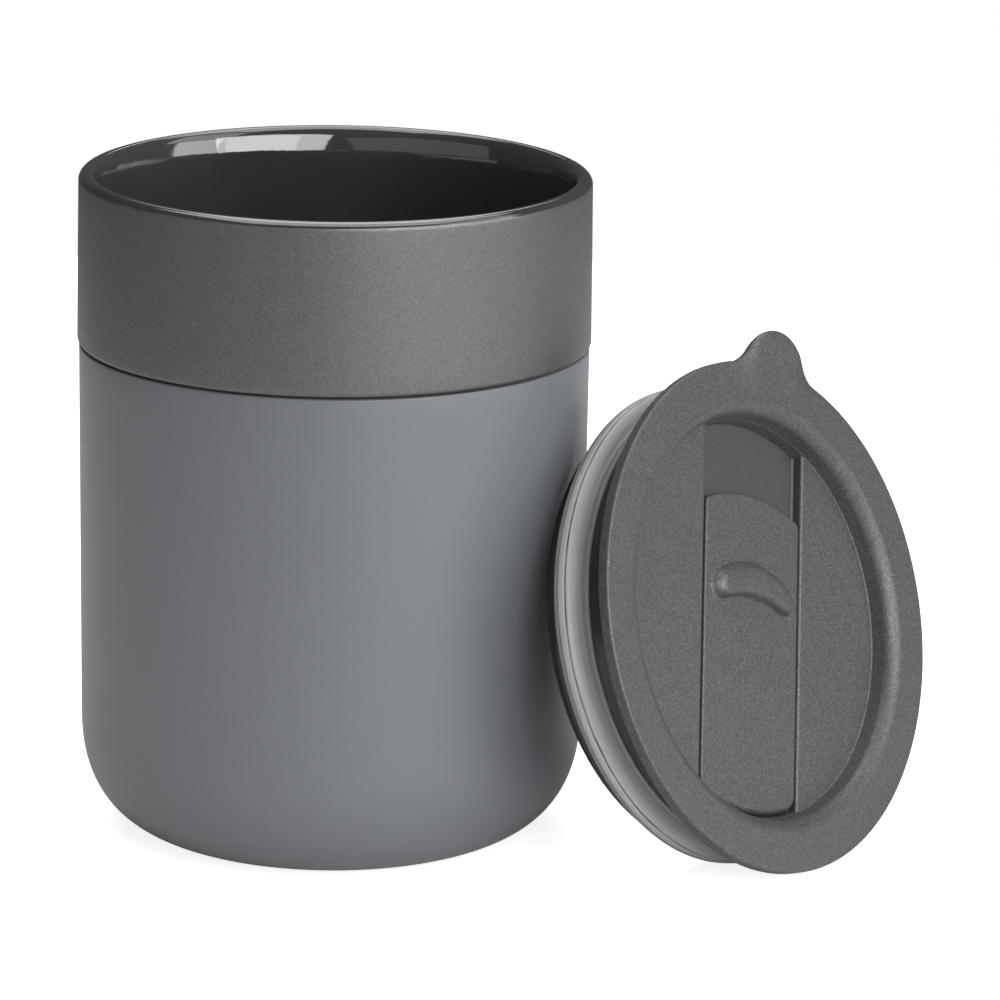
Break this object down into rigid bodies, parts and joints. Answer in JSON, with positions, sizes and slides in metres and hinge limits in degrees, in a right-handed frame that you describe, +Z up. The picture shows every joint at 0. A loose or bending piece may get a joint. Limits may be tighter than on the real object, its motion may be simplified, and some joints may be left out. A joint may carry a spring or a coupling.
{
  "type": "ceramic travel mug",
  "caption": "Round ceramic travel cup in a silicone sleeve, with a press-in lid that has a sliding drink-hole cover, leaning beside it.",
  "frame": {"origin": "centre of the sleeve's flat base, on the surface the mug stands on and on the mug's axis", "axes": "+Z up along the mug's axis; the lid, off the mug, leans on its +X side with its outer face turned to +X"},
  "size_m": [0.1233, 0.1176, 0.1121],
  "materials": {
    "cup": "satin",
    "sleeve": "matte",
    "lid": "satin",
    "seal": "satin",
    "slider": "satin",
    "gasket": "satin",
    "retainer": "satin"
  },
  "bodies": {
    "sleeve": {"sleeve": "sleeve"},
    "cup": {"cup": "cup"},
    "lid": {"lid_body": "lid", "lid_seal": "seal"},
    "slider": {"slider": "slider", "slider_gasket": "gasket", "slider_retainer": "retainer"}
  },
  "joints": [
    {"name": "cup_lift", "type": "slide", "parent": "sleeve", "child": "cup", "axis": [0, 0, 1], "range_m": [0, 0.09]},
    {"name": "lid_lift", "type": "slide", "parent": "sleeve", "child": "lid", "axis": [0.169, 0.0399, 0.9848], "range_m": [0, 0.16]},
    {"name": "slider_slide", "type": "slide", "parent": "lid", "child": "slider", "axis": [-0.2752, 0.3859, 0.8805], "range_m": [0, 0.0115]}
  ]
}
